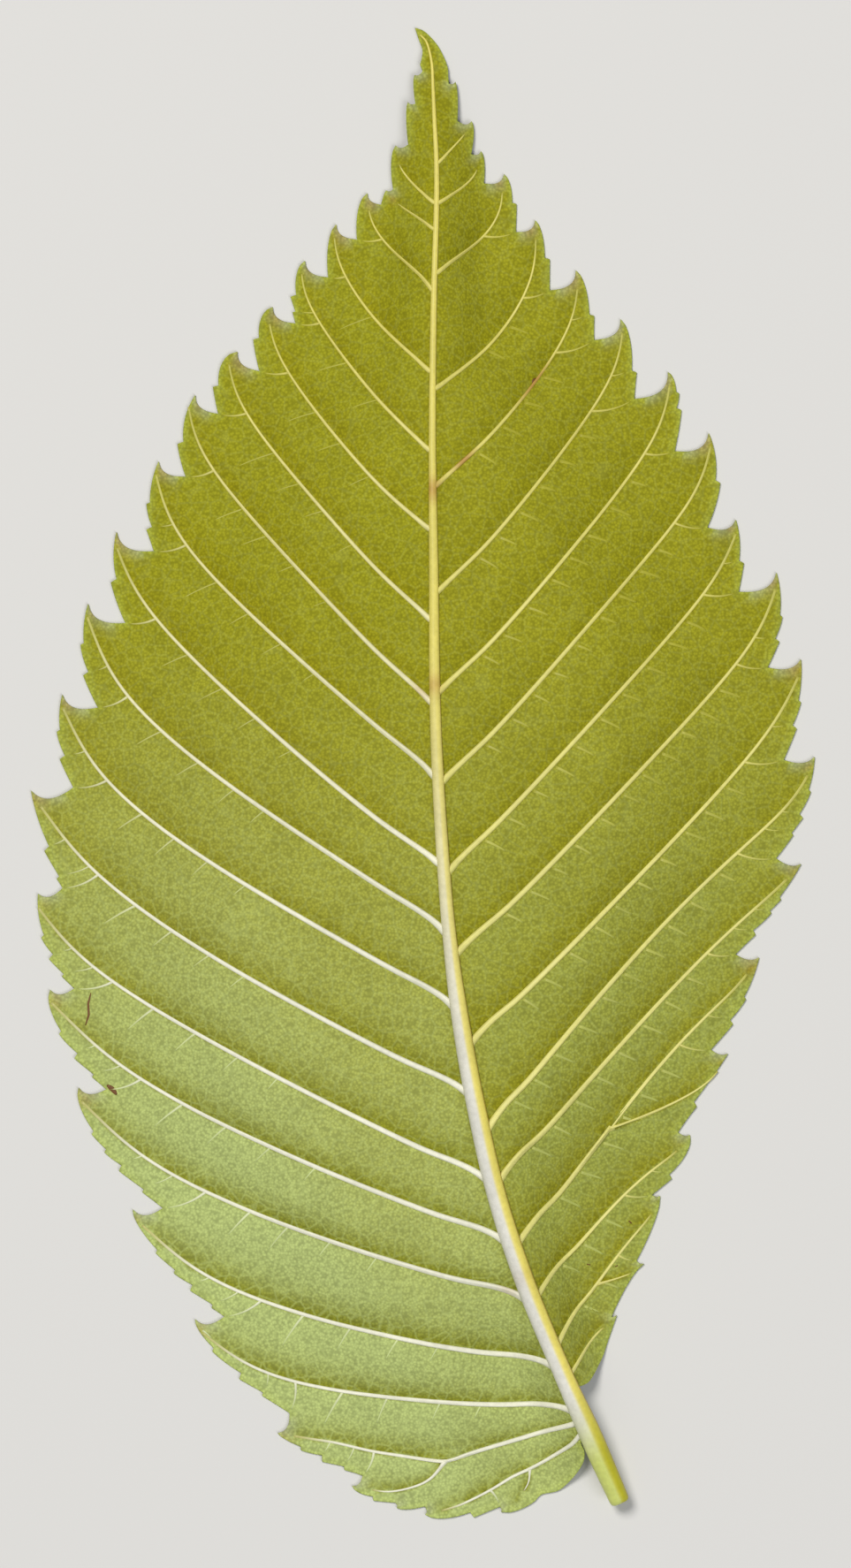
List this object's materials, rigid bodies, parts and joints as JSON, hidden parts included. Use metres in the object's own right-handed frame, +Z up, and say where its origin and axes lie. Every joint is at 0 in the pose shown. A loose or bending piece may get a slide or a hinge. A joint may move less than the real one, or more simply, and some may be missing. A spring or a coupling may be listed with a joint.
{
  "type": "elm leaf",
  "caption": "Single cut elm leaf lying flat with its veined underside up: unequal toothed blade, raised midrib and side veins, drip tip and short cut stalk.",
  "frame": {"origin": "middle of the leaf's bounding box, on the plane that its margins rest on", "axes": "+Y along the leaf towards its drip tip, +X towards the narrower half, +Z up from the surface it lies on, out of the underside that faces up"},
  "size_m": [0.0578, 0.11, 0.0053],
  "materials": {
    "blade": "matt, finely grained leaf tissue, olive green on the underside and darker green on the upper face",
    "veins": "satin, pale cream raised side veins",
    "stalk": "satin, pale cream to yellow-green stalk and midrib"
  },
  "bodies": {
    "root": {"blade_left": "blade", "blade_right": "blade", "blade_tip": "blade", "fork_left_01": "veins", "fork_right_01": "veins", "fork_right_02": "veins", "stalk_and_midrib": "stalk", "vein_left_01": "veins", "vein_left_02": "veins", "vein_left_03": "veins", "vein_left_04": "veins", "vein_left_05": "veins", "vein_left_06": "veins", "vein_left_07": "veins", "vein_left_08": "veins", "vein_left_09": "veins", "vein_left_10": "veins", "vein_left_11": "veins", "vein_left_12": "veins", "vein_left_13": "veins", "vein_left_14": "veins", "vein_left_15": "veins", "vein_left_16": "veins", "vein_left_17": "veins", "vein_left_18": "veins", "vein_left_19": "veins", "vein_left_20": "veins", "vein_right_01": "veins", "vein_right_02": "veins", "vein_right_03": "veins", "vein_right_04": "veins", "vein_right_05": "veins", "vein_right_06": "veins", "vein_right_07": "veins", "vein_right_08": "veins", "vein_right_09": "veins", "vein_right_10": "veins", "vein_right_11": "veins", "vein_right_12": "veins", "vein_right_13": "veins", "vein_right_14": "veins", "vein_right_15": "veins", "vein_right_16": "veins", "vein_right_17": "veins"}
  },
  "joints": []
}
